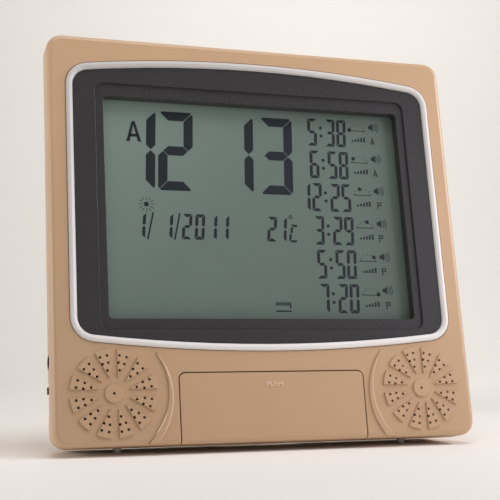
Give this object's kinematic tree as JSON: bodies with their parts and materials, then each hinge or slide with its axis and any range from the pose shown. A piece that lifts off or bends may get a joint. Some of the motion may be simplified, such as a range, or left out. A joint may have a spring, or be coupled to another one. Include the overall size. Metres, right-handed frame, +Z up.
{
  "type": "azan clock",
  "caption": "Leaning table clock with a wide arched display window, a speaker grille on each side, a flip-down key door and a fold-out rear stand.",
  "frame": {"origin": "middle of the clock's box, on the table that it stands on", "axes": "+X to the clock's left as seen from behind (right as seen from the front), +Y from the face to the back, +Z up"},
  "size_m": [0.2276, 0.0766, 0.216],
  "materials": {
    "tan_plastic": "satin moulded",
    "silver_paint": "satin silver paint on plastic",
    "dark_plastic": "fine satin",
    "display_glass": "semi-matt polariser",
    "white_plastic": "satin",
    "board_green": "solder mask",
    "black_plastic": "satin",
    "key_plastic": "satin moulded",
    "steel": "plated",
    "paper": "matt",
    "clear_rubber": "clear soft",
    "cell_wrap": "plain sleeve"
  },
  "bodies": {
    "case": {"battery_cell_1": "cell_wrap", "battery_cell_2": "cell_wrap", "battery_cell_3": "cell_wrap", "battery_contact_lower_1": "steel", "battery_contact_lower_3": "steel", "battery_contact_upper_1": "steel", "battery_contact_upper_2": "steel", "battery_spring_1": "steel", "battery_spring_2": "steel", "battery_spring_3": "steel", "board_screw_1": "steel", "board_screw_2": "steel", "board_screw_3": "steel", "board_screw_4": "steel", "case_screw_1": "steel", "case_screw_2": "steel", "case_screw_3": "steel", "case_screw_4": "steel", "case_screw_5": "steel", "case_screw_6": "steel", "clock_chip": "black_plastic", "display_contact_strip": "paper", "display_light_plate": "white_plastic", "display_panel": "display_glass", "foot_left": "clear_rubber", "foot_right": "clear_rubber", "front_case": "tan_plastic", "inlet_pin": "steel", "key_bay": "tan_plastic", "key_board": "board_green", "latch_housing": "black_plastic", "main_board": "board_green", "power_inlet": "black_plastic", "rear_cover": "tan_plastic", "sound_chip": "black_plastic", "speaker_basket_left": "steel", "speaker_basket_right": "steel", "speaker_cone_left": "paper", "speaker_cone_right": "paper", "speaker_magnet_left": "black_plastic", "speaker_magnet_right": "black_plastic", "stand_pin": "steel", "trim_ring": "silver_paint", "volume_slider": "black_plastic", "window_frame": "dark_plastic"},
    "control_door": {"control_door": "tan_plastic"},
    "latch_plunger": {"latch_plunger": "black_plastic"},
    "battery_door": {"battery_door": "tan_plastic"},
    "rear_stand": {"rear_stand": "tan_plastic"},
    "volume_knob": {"volume_knob": "black_plastic"},
    "key_1": {"key_1": "key_plastic"},
    "key_2": {"key_2": "key_plastic"},
    "key_3": {"key_3": "key_plastic"},
    "key_4": {"key_4": "key_plastic"},
    "key_5": {"key_5": "key_plastic"},
    "key_6": {"key_6": "key_plastic"},
    "key_7": {"key_7": "key_plastic"},
    "key_8": {"key_8": "key_plastic"}
  },
  "joints": [
    {"name": "door_hinge", "type": "hinge", "parent": "case", "child": "control_door", "pos_m": [0.00025, -0.03288, 0.00807], "axis": [1, 0, 0], "range_deg": [0, 95]},
    {"name": "latch_press", "type": "slide", "parent": "case", "child": "latch_plunger", "axis": [0, 0.9823, -0.1874], "range_m": [0, 0.0012], "stiffness_N_per_m": 400, "springref_m": -0.0012},
    {"name": "battery_door_lift_off", "type": "slide", "parent": "case", "child": "battery_door", "axis": [0, 0.9823, -0.1874], "range_m": [0, 0.02]},
    {"name": "stand_hinge", "type": "hinge", "parent": "case", "child": "rear_stand", "pos_m": [0.00025, 0.01321, 0.08367], "axis": [-1, 0, 0], "range_deg": [0, 22]},
    {"name": "volume_slide", "type": "slide", "parent": "case", "child": "volume_knob", "axis": [0, 0.1874, 0.9823], "range_m": [-0.0105, 0.0015]},
    {"name": "key_1_press", "type": "slide", "parent": "case", "child": "key_1", "axis": [0, 0.9823, -0.1874], "range_m": [0, 0.0005], "stiffness_N_per_m": 600, "springref_m": -0.0005},
    {"name": "key_2_press", "type": "slide", "parent": "case", "child": "key_2", "axis": [0, 0.9823, -0.1874], "range_m": [0, 0.0005], "stiffness_N_per_m": 600, "springref_m": -0.0005},
    {"name": "key_3_press", "type": "slide", "parent": "case", "child": "key_3", "axis": [0, 0.9823, -0.1874], "range_m": [0, 0.0005], "stiffness_N_per_m": 600, "springref_m": -0.0005},
    {"name": "key_4_press", "type": "slide", "parent": "case", "child": "key_4", "axis": [0, 0.9823, -0.1874], "range_m": [0, 0.0005], "stiffness_N_per_m": 600, "springref_m": -0.0005},
    {"name": "key_5_press", "type": "slide", "parent": "case", "child": "key_5", "axis": [0, 0.9823, -0.1874], "range_m": [0, 0.0005], "stiffness_N_per_m": 600, "springref_m": -0.0005},
    {"name": "key_6_press", "type": "slide", "parent": "case", "child": "key_6", "axis": [0, 0.9823, -0.1874], "range_m": [0, 0.0005], "stiffness_N_per_m": 600, "springref_m": -0.0005},
    {"name": "key_7_press", "type": "slide", "parent": "case", "child": "key_7", "axis": [0, 0.9823, -0.1874], "range_m": [0, 0.0005], "stiffness_N_per_m": 600, "springref_m": -0.0005},
    {"name": "key_8_press", "type": "slide", "parent": "case", "child": "key_8", "axis": [0, 0.9823, -0.1874], "range_m": [0, 0.0005], "stiffness_N_per_m": 600, "springref_m": -0.0005}
  ]
}
